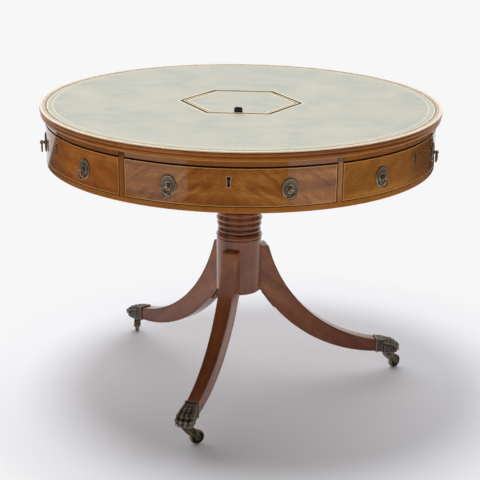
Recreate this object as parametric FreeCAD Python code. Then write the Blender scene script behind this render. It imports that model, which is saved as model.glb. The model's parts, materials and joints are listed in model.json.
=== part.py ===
import FreeCAD, Part
import math
import os

from FreeCAD import Vector

# A revolving drum writing table on a tripod pillar, in millimetres. The origin is on the
# floor under the pillar's axis and +Z is up. The front drawer faces -Y. An azimuth is in
# degrees from that front, positive towards +X. Pieces are drawn towards +X, with Y across
# them, and then turned to their azimuth.

# Whole table
table_height = 755.0
top_radius = 495.0
frieze_set_back = 13.0
drawer_count = 6
leg_count = 3
front_leg_azimuth = -14.59
overrun = 5.0
corner_bow_share = 0.2
upright_share = 0.999
near_share = 0.001

# Top board: crossband and leather lie on it, and its edge has two reeds over a fillet
top_thickness = 25.0
crossband_thickness = 2.4
crossband_width = 17.5
crossband_set_in = 1.0
leather_sink = 0.4
leather_gap = 0.2
reed_count = 2
reed_depth = 2.4
reed_step = 1.6
edge_fillet_height = 3.4
edge_fillet_proud = 3.0
opening_string_width = 2.4

# Drum: rails, floor, dividers with their stiles, runners
upper_rail_height = 11.0
drawer_opening_height = 92.0
lower_rail_height = 13.0
rail_width = 22.0
rail_arris = 1.2
floor_thickness = 11.0
divider_thickness = 12.0
stile_width = 12.4
runner_width = 24.0
runner_height = 5.0
runner_end_gap = 6.0

# Lid over the money well, hinged at its back edge
lid_flat = 130.0
lid_gap = 1.6
lid_thickness = 12.5
lid_band_width = 13.0
lid_leather_depth = 1.6
tab_width = 20.0
tab_thickness = 3.0
tab_height = 13.0
tab_round = 5.0
knuckle_radius = 1.4
knuckle_gap = 0.3
knuckle_count = 3
nosing_inset = 4.0
hinge_pin_radius = 0.7
hinge_leaf_length = 39.0
hinge_leaf_thickness = 1.2
hinge_leaf_depth = 8.0
hinge_offset = 42.0

# Money well under the lid
well_wall = 9.0
well_floor_thickness = 6.0
well_floor_lift = 19.0

# Drawers
front_thickness = 20.0
front_side_gap = 2.0
front_top_gap = 4.4
front_base_gap = 1.7
drawer_side_gap = 2.5
drawer_side_thickness = 9.0
drawer_side_height = 74.0
drawer_back_gap = 4.0
drawer_bottom_thickness = 5.0
drawer_slide_gap = 0.3
guide_width = 8.0
guide_gap = 0.5

# Keyhole with its liner, and the lock behind it
keyhole_rise = 19.0
keyhole_depth = 3.0
liner_head_radius = 6.75
liner_tail_length = 20.5
liner_tail_narrow = 8.6
liner_tail_wide = 10.6
liner_wall = 1.7
liner_proud = 0.4
lock_width = 62.0
lock_height = 36.0
lock_depth = 12.0
lock_let_in = 2.0

# Ring pulls: an oval plate, a stem with an eye, and a hanging ring
pull_azimuth = 16.0
pull_drop = 4.0
plate_half_width = 19.0
plate_half_height = 24.0
plate_thickness = 1.2
plate_rim_rise = 1.3
plate_rim_share = 0.86
rosette_share = 0.56
rosette_rise = 2.0
rosette_top_share = 0.34
stem_radius = 3.6
eye_reach = 10.0
eye_radius = 5.0
eye_length = 6.0
eye_bevel = 1.0
eye_bore_radius = 2.7
ring_radius = 11.4
ring_wire_radius = 1.9

# Pillar, from its foot up
pillar_length = 353.0
pillar_radius = 57.5
pillar_foot_round = 7.0
leg_root_height = 121.0
neck_height = 23.2
neck_groove = 1.0
pillar_ring_pitch = 15.2
pillar_ring_quirk = 1.8
pillar_ring_depth = 3.6
pillar_ring_shares = (1.02, 0.96, 0.99, 1.02, 1.0)
shaft_share = 0.88
cove_height = 46.0
cove_bow = 14.0
cap_radius = 74.0
cap_height = 12.0
cap_bow = 4.0
drop_radius = 17.0
drop_height = 9.0
drop_bow = 2.2

# Bearer block on the pillar, and the spindle that the drum turns on
bearer_radius = 118.0
bearer_height = 24.0
bearer_edge = 6.0
tenon_radius = 26.0
spindle_radius = 10.0
spindle_clearance = 0.06
spindle_depth = 90.0
washer_radius = 24.0
washer_thickness = 2.5
washer_gap = 0.3
nut_radius = 17.0
nut_height = 9.0
spindle_proud = 4.0

# Casters: wheel, fork and stem
wheel_radius = 18.0
wheel_width = 11.0
wheel_round = 2.5
wheel_dish = 1.6
wheel_rim = 4.5
wheel_hub_radius = 6.0
wheel_side_gap = 0.6
axle_radius = 2.5
axle_clearance = 0.05
axle_head = 1.2
wheel_headroom = 2.5
cheek_thickness = 2.6
cheek_radius = 6.5
horn_height = 49.0
horn_thickness = 5.0
horn_upper_bow = 5.0
horn_lower_bow = 2.5
crown_radius = 10.5
crown_thickness = 4.0
crown_gap = 0.3
caster_trail = 27.0
caster_stem_radius = 4.0
caster_stem_clearance = 0.05
caster_stem_length = 19.0
caster_stem_lead = 16.0
caster_azimuths = (120.0, 132.0, 190.0)

# Legs: swept sabre legs, dovetailed to the pillar, with a groove near each edge. Wear has
# left each with a reach of its own, measured from the pillar's axis to the toe's end.
front_leg_reach = 380.0
right_leg_reach = 400.0
left_leg_reach = 411.0
leg_root_width = 42.0
leg_toe_width = 28.0
leg_shoulder = 13.0
leg_bevel_width = 4.0
leg_bevel_drop = 3.0
leg_toe_depth = 31.0
leg_outer_bow = 65.5
leg_inner_bow = 51.0
leg_groove_inset = 3.6
leg_groove_width = 1.3
leg_groove_depth = 0.7
dovetail_depth = 15.0
dovetail_root = 15.0
dovetail_tip = 22.0
dovetail_top_gap = 12.0

# Iron strap under the pillar and legs, with its screws
strap_thickness = 3.0
strap_width = 20.0
strap_arm_length = 37.0
strap_hub_radius = 40.0
strap_screw_radius = 3.6
strap_screw_proud = 0.6
strap_screw_inset = 9.0

# Paw sockets: a sleeve on the leg's toe, collars, ankle, and four clawed toes. Places along
# the paw are measured outwards from the end of the leg.
socket_length = 23.0
socket_wall = 2.2
collar_width = 3.4
collar_proud = 1.3
paw_sole = 7.2
ankle_start = -3.0
ankle_end = 26.0
ankle_width = 36.0
ankle_round = 5.0
ankle_bow = 3.0
pad_reach = 39.0
pad_rise = 3.0
pad_height = 18.0
outer_toe_offset = 13.0
inner_toe_offset = 4.3
outer_toe_set_back = 4.0
toe_fans = (-8.0, -2.6, 2.6, 8.0)
first_knuckle_start = 5.0
first_knuckle_end = 14.5
first_knuckle_drop = 5.0
first_knuckle_thickness = 7.0
middle_knuckle_start = 23.5
middle_knuckle_end = 30.0
middle_knuckle_drop = 10.5
middle_knuckle_thickness = 6.4
last_knuckle_start = 35.5
last_knuckle_end = 40.0
last_knuckle_drop = 18.5
last_knuckle_thickness = 5.5
knuckle_slope_share = 0.3
claw_radius = 3.3
claw_tip_radius = 0.7
claw_reach = 6.0
claw_drop = 12.0

# Heights that follow from the sizes above
sector_angle = 360 / drawer_count
leg_pitch = 360 / leg_count
quarter_turn = 90
full_turn = 360
knuckle_share = 1 / knuckle_count
leg_reaches = (front_leg_reach, right_leg_reach, left_leg_reach)
toe_offsets = (-outer_toe_offset, -inner_toe_offset, inner_toe_offset, outer_toe_offset)
toe_set_backs = (outer_toe_set_back, 0, 0, outer_toe_set_back)
toe_knuckles = (
    (first_knuckle_start, first_knuckle_end, first_knuckle_drop, first_knuckle_thickness),
    (middle_knuckle_start, middle_knuckle_end, middle_knuckle_drop, middle_knuckle_thickness),
    (last_knuckle_start, last_knuckle_end, last_knuckle_drop, last_knuckle_thickness),
)
UP = Vector(0, 0, 1)
CENTRE = Vector(0, 0, 0)

frieze_radius = top_radius - frieze_set_back
board_top = table_height - crossband_thickness
board_base = table_height - top_thickness
opening_top = board_base - upper_rail_height
opening_base = opening_top - drawer_opening_height
drum_base = opening_base - lower_rail_height
floor_base = opening_base - floor_thickness
rail_inner = frieze_radius - rail_width
lid_base = table_height - lid_thickness
leather_radius = top_radius - crossband_width
well_corner = lid_flat / math.cos(math.radians(sector_angle / 2))
pillar_base = drum_base - pillar_length
leg_top = pillar_base + leg_root_height
pillar_top = floor_base - bearer_height
paw_base = horn_height + crown_thickness + crown_gap
toe_base = paw_base + paw_sole
toe_top = toe_base + leg_toe_depth
pull_height = opening_base + drawer_opening_height / 2 - pull_drop
keyhole_height = opening_base + drawer_opening_height / 2 + keyhole_rise
hinge_line = lid_flat + lid_gap - knuckle_gap - knuckle_radius
hinge_height = table_height - knuckle_radius


class Outline:
    """A profile drawn edge by edge in the plane of X and Z."""

    def __init__(self, x, z):
        self.start = Vector(x, 0, z)
        self.at = self.start
        self.edges = []

    def line(self, x, z):
        end = Vector(x, 0, z)
        self.edges.append(Part.LineSegment(self.at, end).toShape())
        self.at = end
        return self

    def bow(self, x, z, rise):
        """An arc to a point; its middle stands off the chord by rise, left of the way."""
        end = Vector(x, 0, z)
        chord = end - self.at
        left = Vector(-chord.z, 0, chord.x).normalize()
        middle = (self.at + end) * 0.5 + left * rise
        self.edges.append(Part.Arc(self.at, middle, end).toShape())
        self.at = end
        return self

    def face(self):
        self.line(self.start.x, self.start.z)
        return Part.Face(Part.Wire(self.edges))

    def turned(self):
        """The profile turned about the Z axis."""
        return self.face().revolve(CENTRE, UP, full_turn)

    def sawn(self, width):
        """The profile as a slab of the given width, centred on Y."""
        slab = self.face().extrude(Vector(0, width, 0))
        slab.translate(Vector(0, -width / 2, 0))
        return slab


def at_azimuth(shape, azimuth):
    """A copy of a piece drawn towards +X, turned to face its azimuth."""
    turned = shape.copy()
    turned.rotate(CENTRE, UP, azimuth - quarter_turn)
    return turned


def disc(radius, low, high):
    return Part.makeCylinder(radius, high - low, Vector(0, 0, low))


def band(inner, outer, low, high):
    return disc(outer, low, high).cut(disc(inner, low - overrun, high + overrun))


def block(near, far, width, low, high):
    """A box from near to far along X, centred on Y."""
    corner = Vector(near, -width / 2, low)
    return Part.makeBox(far - near, width, high - low, corner)


def rod_across(x, z, radius, length):
    """A round rod along Y, centred on Y, through (x, z)."""
    return Part.makeCylinder(radius, length, Vector(x, -length / 2, z), Vector(0, 1, 0))


def prism(plan, low, high):
    """An upright prism on a plan outline of (x, y) points."""
    corners = [Vector(x, y, low) for x, y in plan]
    return Part.Face(Part.makePolygon(corners + corners[:1])).extrude(UP * (high - low))


def hexagon_plan(flat):
    """The corners of a hexagon whose flats lie at the given distance and face the drawers."""
    corner = flat / math.cos(math.radians(sector_angle / 2))
    turns = [math.radians(sector_angle * (side + 0.5)) for side in range(drawer_count)]
    return [(corner * math.cos(turn), corner * math.sin(turn)) for turn in turns]


def hexagon(flat, low, high):
    return prism(hexagon_plan(flat), low, high)


def sector_wedge(side_offset, low, high):
    """The plan sector of one drawer, with its sides drawn in from the dividers' planes."""
    half = math.radians(sector_angle / 2)
    apex = side_offset / math.sin(half)
    reach = top_radius * 2
    side_x = apex + reach * math.cos(half)
    side_y = reach * math.sin(half)
    return prism([(apex, 0), (side_x, -side_y), (side_x, side_y)], low, high)


def all_round(shape, count, first=0):
    """Copies of a piece at even azimuths from the first."""
    return [at_azimuth(shape, first + full_turn * turn / count) for turn in range(count)]


def group(pieces):
    return Part.makeCompound(pieces)


# Top board and what lies on it

def top_board():
    """The revolving top: a disc with a reeded edge and a six-sided opening for the well."""
    fillet_radius = frieze_radius + edge_fillet_proud
    reed_base = board_base + edge_fillet_height
    reed_height = (board_top - reed_base) / reed_count
    outline = Outline(0, board_base)
    outline.line(fillet_radius, board_base)
    outline.line(fillet_radius, reed_base)
    for reed in range(reed_count):
        root = top_radius - reed_depth - reed_step * (reed_count - 1 - reed)
        low = reed_base + reed_height * reed
        outline.line(root, low)
        outline.bow(root, low + reed_height, -reed_depth)
    outline.line(0, board_top)
    opening = hexagon(lid_flat + lid_gap, board_base - overrun, board_top + overrun)
    return outline.turned().cut(opening)


def top_crossband():
    """The veneer band round the rim, and the string round the opening."""
    outer = top_radius - crossband_set_in
    rim = band(leather_radius, outer, board_top, table_height)
    opening = lid_flat + lid_gap
    string = hexagon(opening + opening_string_width, board_top, table_height)
    string = string.cut(hexagon(opening, board_top - overrun, table_height + overrun))
    return group([rim, string])


def top_leather():
    """The writing surface, just below the crossband."""
    high = table_height - leather_sink
    hide = disc(leather_radius - leather_gap, board_top, high)
    hole = lid_flat + lid_gap + opening_string_width + leather_gap
    return hide.cut(hexagon(hole, board_top - overrun, high + overrun))


# Drum

def upper_rail():
    return band(rail_inner, frieze_radius, opening_top, board_base)


def lower_rail():
    """The ring under the drawers, its lower outer arris eased."""
    outline = Outline(rail_inner, drum_base)
    outline.line(frieze_radius - rail_arris, drum_base)
    outline.line(frieze_radius, drum_base + rail_arris)
    outline.line(frieze_radius, opening_base)
    outline.line(rail_inner, opening_base)
    return outline.turned()


def drum_floor():
    """The floor disc that the drawers run on, bored for the spindle."""
    bore = spindle_radius + spindle_clearance
    return band(bore, rail_inner, floor_base, opening_base)


def drawer_dividers():
    """A board from each corner of the well to the frieze, and the stile on its end."""
    board = block(well_corner, frieze_radius, divider_thickness, opening_base, board_base)
    board = board.common(disc(rail_inner, opening_base, board_base))
    stile = block(rail_inner - overrun, top_radius, stile_width, opening_base, opening_top)
    stile = stile.common(band(rail_inner, frieze_radius, opening_base, opening_top))
    first = sector_angle / 2
    pieces = all_round(board, drawer_count, first) + all_round(stile, drawer_count, first)
    return group(pieces)


def drawer_runners():
    """A strip on the drum floor under the middle of each drawer."""
    high = opening_base + runner_height
    end = rail_inner - runner_end_gap
    strip = block(lid_flat, end, runner_width, opening_base, high)
    return group(all_round(strip, drawer_count))


def well_box():
    """Six mitred walls that the lid rests on, and a floor raised over the spindle nut."""
    inner = hexagon_plan(lid_flat - well_wall)
    outer = hexagon_plan(lid_flat)
    pieces = []
    for side in range(drawer_count):
        plan = [outer[side - 1], outer[side], inner[side], inner[side - 1]]
        pieces.append(prism(plan, opening_base, lid_base))
    low = opening_base + well_floor_lift
    pieces.append(hexagon(lid_flat - well_wall, low, low + well_floor_thickness))
    return group([at_azimuth(piece, 0) for piece in pieces])


# Lid. It is drawn with its hinged edge towards +X and turned to the back.

def hinge_zone(radius, length):
    """Two rods of the given length on the hinge axis, one at each hinge."""
    rods = []
    for side in (-1, 1):
        rod = rod_across(hinge_line, hinge_height, radius, length)
        rod.translate(Vector(0, side * hinge_offset, 0))
        rods.append(rod)
    return rods


def leaf_plates(near, gap):
    """One upright plate at each hinge, from near outwards, with a gap round it."""
    far = near + hinge_leaf_thickness
    low = hinge_height - hinge_leaf_depth
    plates = []
    for side in (-1, 1):
        plate = block(near - gap, far, hinge_leaf_length + gap * 2, low - gap, hinge_height)
        plate.translate(Vector(0, side * hinge_offset, 0))
        plates.append(plate)
    return plates


def lid_panel():
    """The lid: a hexagon with a sunk field and a back edge rounded about the hinge axis."""
    panel = hexagon(lid_flat, lid_base, table_height)
    field_base = table_height - lid_leather_depth
    field = hexagon(lid_flat - lid_band_width, field_base, table_height + overrun)
    panel = panel.cut(field)
    back = block(hinge_line, lid_flat + overrun, top_radius, lid_base - overrun,
                 table_height + overrun)
    edge_length = well_corner - nosing_inset * 2
    nosing = rod_across(hinge_line, hinge_height, knuckle_radius, edge_length)
    upper_half = block(hinge_line, lid_flat + overrun, top_radius, hinge_height,
                       table_height + overrun)
    panel = panel.cut(back).fuse(nosing.common(upper_half))
    leaf_near = hinge_line - hinge_leaf_thickness
    clearances = hinge_zone(knuckle_radius + knuckle_gap, hinge_leaf_length + knuckle_gap * 2)
    for clearance in clearances + leaf_plates(leaf_near, 0):
        panel = panel.cut(clearance)
    return at_azimuth(panel.removeSplitter(), quarter_turn * 2)


def lid_leather():
    """The hide in the lid's field."""
    low = table_height - lid_leather_depth
    flat = lid_flat - lid_band_width - leather_gap
    hide = hexagon(flat, low, table_height - leather_sink)
    return at_azimuth(hide, 0)


def lid_tab():
    """The lifting tab that stands up in the middle of the lid's front edge."""
    far = lid_flat - lid_band_width + tab_thickness
    high = table_height + tab_height
    tab = block(far - tab_thickness, far, tab_width, table_height, high)
    upper = [edge for edge in tab.Edges if is_tab_corner(edge, high)]
    return at_azimuth(tab.makeFillet(tab_round, upper), 0)


def is_tab_corner(edge, high):
    """True of an edge that runs along X at the tab's top."""
    first, last = edge.Vertexes[0].Point, edge.Vertexes[-1].Point
    level = abs(first.z - high) + abs(last.z - high)
    return level < overrun * near_share and abs(first.y - last.y) < overrun * near_share


def hinge_knuckles(low_share, high_share):
    """The stretch of each barrel between two shares of the leaf's length."""
    length = hinge_leaf_length * (high_share - low_share)
    middle = hinge_leaf_length * (high_share + low_share - 1) / 2
    pieces = []
    for rod in hinge_zone(knuckle_radius, length):
        rod.translate(Vector(0, middle, 0))
        pieces.append(rod)
    return pieces


def hinge_fixed_leaves():
    """Two leaves on the opening's back edge, their outer knuckles and their pins."""
    joint_gap = knuckle_gap / hinge_leaf_length
    near = lid_flat + lid_gap - hinge_leaf_thickness
    lower = hinge_knuckles(0, knuckle_share)
    upper = hinge_knuckles(1 - knuckle_share, 1)
    cores = hinge_zone(knuckle_radius + knuckle_gap, hinge_leaf_length * (knuckle_share + joint_gap * 2))
    pins = hinge_zone(hinge_pin_radius, hinge_leaf_length)
    leaves = []
    for plate, first, last, core, pin in zip(leaf_plates(near, 0), lower, upper, cores, pins):
        leaf = plate.fuse([first, last]).cut(core).fuse(pin)
        leaves.append(at_azimuth(leaf.removeSplitter(), quarter_turn * 2))
    return group(leaves)


def hinge_moving_leaves():
    """Two leaves let into the lid's back edge, each with its middle knuckle."""
    near = hinge_line - hinge_leaf_thickness
    joint_gap = knuckle_gap / hinge_leaf_length
    knuckles = hinge_knuckles(knuckle_share + joint_gap, 1 - knuckle_share - joint_gap)
    bores = hinge_zone(hinge_pin_radius + axle_clearance, hinge_leaf_length + overrun)
    clearances = hinge_zone(knuckle_radius + knuckle_gap, hinge_leaf_length + knuckle_gap * 2)
    leaves = []
    for plate, knuckle, bore, room in zip(leaf_plates(near, 0), knuckles, bores, clearances):
        tongue = plate.common(rod_slice(knuckle))
        leaf = plate.cut(room).fuse([tongue, knuckle]).cut(bore)
        leaves.append(at_azimuth(leaf.removeSplitter(), quarter_turn * 2))
    return group(leaves)


def rod_slice(rod):
    """A box as long as a rod along Y, from its axis down past the leaf."""
    bounds = rod.BoundBox
    corner = Vector(bounds.XMin, bounds.YMin, bounds.ZMin - hinge_leaf_depth)
    height = hinge_leaf_depth + knuckle_radius
    return Part.makeBox(bounds.XLength, bounds.YLength, height, corner)


# Drawers, drawn towards +X

def keyhole(head_radius, tail_half_narrow, tail_half_wide, tail_end, near, far):
    """A keyhole-shaped bar along X: a round head over a tail that widens downwards."""
    centre = keyhole_height
    head = Part.makeCylinder(head_radius, far - near, Vector(near, 0, centre), Vector(1, 0, 0))
    corners = [(-tail_half_narrow, centre), (tail_half_narrow, centre),
               (tail_half_wide, centre - tail_end), (-tail_half_wide, centre - tail_end)]
    points = [Vector(near, y, z) for y, z in corners]
    tail = Part.Face(Part.makePolygon(points + points[:1])).extrude(Vector(far - near, 0, 0))
    return head.fuse(tail).removeSplitter()


def liner_shape(wall, near, far):
    """The keyhole liner's outline, drawn in by a wall."""
    return keyhole(liner_head_radius - wall, liner_tail_narrow / 2 - wall,
                   liner_tail_wide / 2 - wall, liner_tail_length - wall, near, far)


def lock_box(near, far):
    centre = keyhole_height - liner_head_radius
    return block(near, far, lock_width, centre - lock_height / 2, centre + lock_height / 2)


def drawer_front():
    """The bowed front, with a shallow keyhole and a recess for the lock at its back."""
    low = opening_base + front_base_gap
    high = opening_top - front_top_gap
    back = frieze_radius - front_thickness
    front = band(back, frieze_radius, low, high)
    front = front.common(sector_wedge(stile_width / 2 + front_side_gap, low, high))
    near = frieze_radius - keyhole_depth
    front = front.cut(liner_shape(0, near, frieze_radius + overrun))
    return front.cut(lock_box(back - lock_depth, back + lock_let_in))


def drawer_box():
    """Sides, back and bottom of one drawer, and the two guides that straddle its runner."""
    back_face = lid_flat + drawer_back_gap
    side_offset = divider_thickness / 2 + drawer_side_gap
    inner_offset = side_offset + drawer_side_thickness
    low = opening_base + drawer_slide_gap
    high = low + drawer_side_height
    bottom_low = opening_base + runner_height + drawer_slide_gap * 2
    bottom_high = bottom_low + drawer_bottom_thickness
    reach = disc(frieze_radius - front_thickness, low, high)
    body = sector_wedge(side_offset, low, high).common(reach)
    body = body.cut(block(-overrun, back_face, top_radius, low - overrun, high + overrun))
    inside = sector_wedge(inner_offset, low - overrun, high + overrun)
    sides = body.cut(inside).Solids
    core = body.common(inside)
    back_inner = back_face + drawer_side_thickness
    back = core.common(block(back_face, back_inner, top_radius, bottom_high, high))
    bottom = core.common(block(back_face, top_radius, top_radius * 2, bottom_low, bottom_high))
    guides = []
    across = runner_width / 2 + guide_gap + guide_width / 2
    for side in (-1, 1):
        end = rail_inner - runner_end_gap
        guide = block(back_face, end, guide_width, low, bottom_low)
        guide.translate(Vector(0, side * across, 0))
        guides.append(guide)
    return group(sides + [back, bottom] + guides)


def oval_bar(share, near, far, far_share):
    """An oval frustum along X between two shares of the pull plate's size."""
    wires = []
    for x, size in ((near, share), (far, far_share)):
        oval = Part.Ellipse(Vector(0, 0, 0), plate_half_height * size, plate_half_width * size)
        wire = Part.Wire(oval.toShape())
        wire.rotate(CENTRE, Vector(0, 1, 0), quarter_turn)
        wire.translate(Vector(x, 0, 0))
        wires.append(wire)
    return Part.makeLoft(wires, True, True)


def pull_plate():
    """The oval plate with a raised rim and a rosette, bored for the stem."""
    seat = frieze_radius
    face = seat + plate_thickness
    plate = oval_bar(1, seat, face, 1)
    rim = oval_bar(1, face, face + plate_rim_rise, plate_rim_share)
    well = oval_bar(plate_rim_share, face, face + plate_rim_rise, plate_rim_share)
    rosette = oval_bar(rosette_share, face, face + rosette_rise, rosette_top_share)
    plate = plate.fuse(rim).cut(well).fuse(rosette).cut(stem_bar(-overrun))
    plate.translate(Vector(0, 0, pull_height))
    return plate


def stem_bar(start):
    """The pull's round stem, from a start measured from the drawer's face out to the eye."""
    foot = Vector(frieze_radius + start, 0, 0)
    return Part.makeCylinder(stem_radius, eye_reach - start, foot, Vector(1, 0, 0))


def pull_stem():
    """The stem and the eye on its end."""
    eye_centre = frieze_radius + eye_reach
    bore = rod_across(eye_centre, 0, eye_bore_radius, eye_length * 2)
    stem = stem_bar(0).fuse(turned_eye()).cut(bore)
    stem.translate(Vector(0, 0, pull_height))
    return stem


def turned_eye():
    """The eye: a short drum across the stem's end, with bevelled edges."""
    half = eye_length / 2
    points = [(0, -half), (eye_radius - eye_bevel, -half), (eye_radius, -half + eye_bevel),
              (eye_radius, half - eye_bevel), (eye_radius - eye_bevel, half), (0, half)]
    corners = [Vector(x, y, 0) for x, y in points]
    section = Part.Face(Part.makePolygon(corners + corners[:1]))
    eye = section.revolve(CENTRE, Vector(0, 1, 0), full_turn)
    eye.translate(Vector(frieze_radius + eye_reach, 0, 0))
    return eye


def pull_ring():
    """The ring, hanging from the middle of the eye."""
    centre = Vector(frieze_radius + eye_reach, 0, pull_height - ring_radius)
    return Part.makeTorus(ring_radius, ring_wire_radius, centre, Vector(1, 0, 0))


def drawer_brass():
    """Both pull plates with their stems, the keyhole liner and the lock of one drawer."""
    near = frieze_radius - keyhole_depth
    far = frieze_radius + liner_proud
    liner = liner_shape(0, near, far + overrun).common(band(near, far, 0, table_height))
    liner = liner.cut(liner_shape(liner_wall, near - overrun, far + overrun))
    back = frieze_radius - front_thickness + lock_let_in
    pieces = [liner, lock_box(back - lock_depth, back)]
    for piece in (pull_plate(), pull_stem()):
        for side in (-1, 1):
            pieces.append(at_azimuth(piece, quarter_turn + side * pull_azimuth))
    return group(pieces)


# Pillar, bearer and spindle

def pillar():
    """The turned pillar, with a dovetail slot for each leg and a bore for the spindle."""
    shaft = pillar_radius * shaft_share
    ring_base = leg_top + neck_height
    outline = Outline(0, pillar_base - drop_height)
    outline.line(drop_radius / 2, pillar_base - drop_height)
    outline.bow(drop_radius, pillar_base, -drop_bow)
    outline.line(pillar_radius - pillar_foot_round, pillar_base)
    outline.bow(pillar_radius, pillar_base + pillar_foot_round, -pillar_foot_round * corner_bow_share)
    outline.line(pillar_radius, leg_top - neck_groove)
    outline.line(pillar_radius - neck_groove, leg_top)
    outline.line(pillar_radius, leg_top + neck_groove)
    outline.line(pillar_radius, ring_base)
    for number, share in enumerate(pillar_ring_shares):
        low = ring_base + pillar_ring_pitch * number
        high = low + pillar_ring_pitch - pillar_ring_quirk
        root = pillar_radius * share - pillar_ring_depth
        outline.line(root, low)
        outline.bow(root, high, -pillar_ring_depth)
        outline.line(root, low + pillar_ring_pitch)
    ring_top = ring_base + pillar_ring_pitch * len(pillar_ring_shares)
    outline.line(shaft, ring_top)
    outline.line(shaft, pillar_top - cap_height - cove_height)
    outline.bow(cap_radius, pillar_top - cap_height, cove_bow)
    outline.bow(cap_radius, pillar_top, -cap_bow)
    outline.line(tenon_radius, pillar_top)
    outline.line(tenon_radius, floor_base)
    outline.line(0, floor_base)
    body = outline.turned()
    for slot in all_round(dovetail(), leg_count, front_leg_azimuth):
        body = body.cut(slot)
    return body.cut(disc(spindle_radius, floor_base - spindle_depth, floor_base + overrun))


def dovetail():
    """The tongue on a leg's root, wider at its tip, that slides up into the pillar."""
    tip = pillar_radius - dovetail_depth
    plan = [(tip, -dovetail_tip / 2), (pillar_radius, -dovetail_root / 2),
            (pillar_radius, dovetail_root / 2), (tip, dovetail_tip / 2)]
    return prism(plan, pillar_base, leg_top - dovetail_top_gap)


def bearer_block():
    """The round block that carries the drum, on the pillar's tenon."""
    outline = Outline(tenon_radius, pillar_top)
    outline.line(bearer_radius - bearer_edge, pillar_top)
    outline.bow(bearer_radius - bearer_edge, floor_base, -bearer_edge)
    outline.line(tenon_radius, floor_base)
    return outline.turned()


def spindle():
    """The iron spindle through the drum floor, with its washer and nut above it."""
    washer_base = opening_base + washer_gap
    nut_base = washer_base + washer_thickness
    nut_top = nut_base + nut_height
    bolt = disc(spindle_radius, floor_base - spindle_depth, nut_top + spindle_proud)
    washer = band(spindle_radius, washer_radius, washer_base, nut_base)
    flat = nut_radius * math.cos(math.radians(sector_angle / 2))
    nut = hexagon(flat, nut_base, nut_top).cut(disc(spindle_radius, 0, table_height))
    return group([bolt, washer, nut])


# Legs

def leg_azimuth(number):
    return front_leg_azimuth + leg_pitch * number


def all_legs(draw):
    """What draw makes for each leg's reach, turned to that leg."""
    return [at_azimuth(draw(reach), leg_azimuth(number))
            for number, reach in enumerate(leg_reaches)]


def leg_outline(reach):
    """A leg's side: shoulder, small bevel, two long arcs and the toe's end."""
    root = pillar_radius - overrun * 2
    bevel_start = pillar_radius + leg_shoulder
    bevel_end = bevel_start + leg_bevel_width
    outline = Outline(root, leg_top)
    outline.line(bevel_start, leg_top)
    outline.line(bevel_end, leg_top - leg_bevel_drop)
    outline.bow(reach, toe_top, -leg_outer_bow)
    outline.line(reach, toe_base)
    outline.bow(pillar_radius, pillar_base, leg_inner_bow)
    outline.line(root, pillar_base)
    return outline


def leg_plan(reach, margin):
    """The leg's tapering plan as a tall wedge, with its sides drawn in by a margin."""
    root_half = leg_root_width / 2 - margin
    toe_half = leg_toe_width / 2 - margin
    plan = [(0, -root_half), (reach + overrun, -toe_half),
            (reach + overrun, toe_half), (0, root_half)]
    return prism(plan, 0, table_height)


def leg_grooves(reach):
    """Two thin rings that follow the leg's edges, for the scratched line on each side."""
    side = leg_outline(reach).face()
    outer = side.makeOffset2D(-leg_groove_inset)
    inner = side.makeOffset2D(-leg_groove_inset - leg_groove_width)
    line = outer.cut(inner)
    ring = line.extrude(Vector(0, leg_root_width * 2, 0))
    ring.translate(Vector(0, -leg_root_width, 0))
    return ring.cut(leg_plan(reach, leg_groove_depth))


def leg_blank(reach):
    """The leg as sawn and tapered, before it is fitted to the pillar."""
    return leg_outline(reach).sawn(leg_root_width * 2).common(leg_plan(reach, 0))


def leg(reach):
    """A swept leg, thinner towards its toe, with its dovetail."""
    blank = leg_blank(reach).cut(disc(pillar_radius, 0, table_height))
    blank = blank.cut(leg_grooves(reach))
    tongue = dovetail().common(disc(pillar_radius, 0, table_height))
    return blank.fuse(tongue).removeSplitter()


def inner_arc_circle(reach):
    """The centre and radius of the circle that the leg's inner edge follows."""
    half_x = (reach - pillar_radius) / 2
    half_z = (toe_base - pillar_base) / 2
    half = math.hypot(half_x, half_z)
    radius = (half * half + leg_inner_bow * leg_inner_bow) / (leg_inner_bow * 2)
    rise = radius - leg_inner_bow
    centre_x = pillar_radius + half_x - half_z / half * rise
    centre_z = pillar_base + half_z + half_x / half * rise
    return centre_x, centre_z, radius


def arm_screws(reach):
    """Two screws whose heads stand just proud of an arm, square to it."""
    x, z, radius = inner_arc_circle(reach)
    screws = []
    for place in (strap_screw_inset, strap_arm_length - strap_screw_inset):
        turn = math.acos((pillar_radius + place - x) / radius)
        out = Vector(math.cos(turn), 0, -math.sin(turn))
        foot = Vector(x, 0, z) + out * radius
        length = strap_thickness + strap_screw_proud
        screws.append(Part.makeCylinder(strap_screw_radius, length, foot, out))
    return group(screws)


def strap_arm(reach):
    """One arm of the strap, bent to the leg's underside, with its neck to the hub."""
    x, z, radius = inner_arc_circle(reach)
    outer = rod_across(x, z, radius + strap_thickness, strap_width)
    arm = outer.cut(rod_across(x, z, radius, strap_width + overrun))
    end = pillar_radius + strap_arm_length
    arm = arm.common(block(pillar_radius, end, strap_width, toe_base, pillar_base))
    low = pillar_base - strap_thickness
    neck = block(strap_hub_radius - overrun, pillar_radius, strap_width, low, pillar_base)
    neck = neck.cut(disc(drop_radius, 0, table_height))
    return arm.fuse(neck).cut(arm_screws(reach))


def leg_strap():
    """The three-armed iron strap that ties the legs to the pillar from below."""
    hub = band(drop_radius, strap_hub_radius, pillar_base - strap_thickness, pillar_base)
    return hub.fuse(all_legs(strap_arm)).removeSplitter()


def strap_screws():
    return group([screw for pair in all_legs(arm_screws) for screw in pair.Solids])


# Paw sockets and casters

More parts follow.
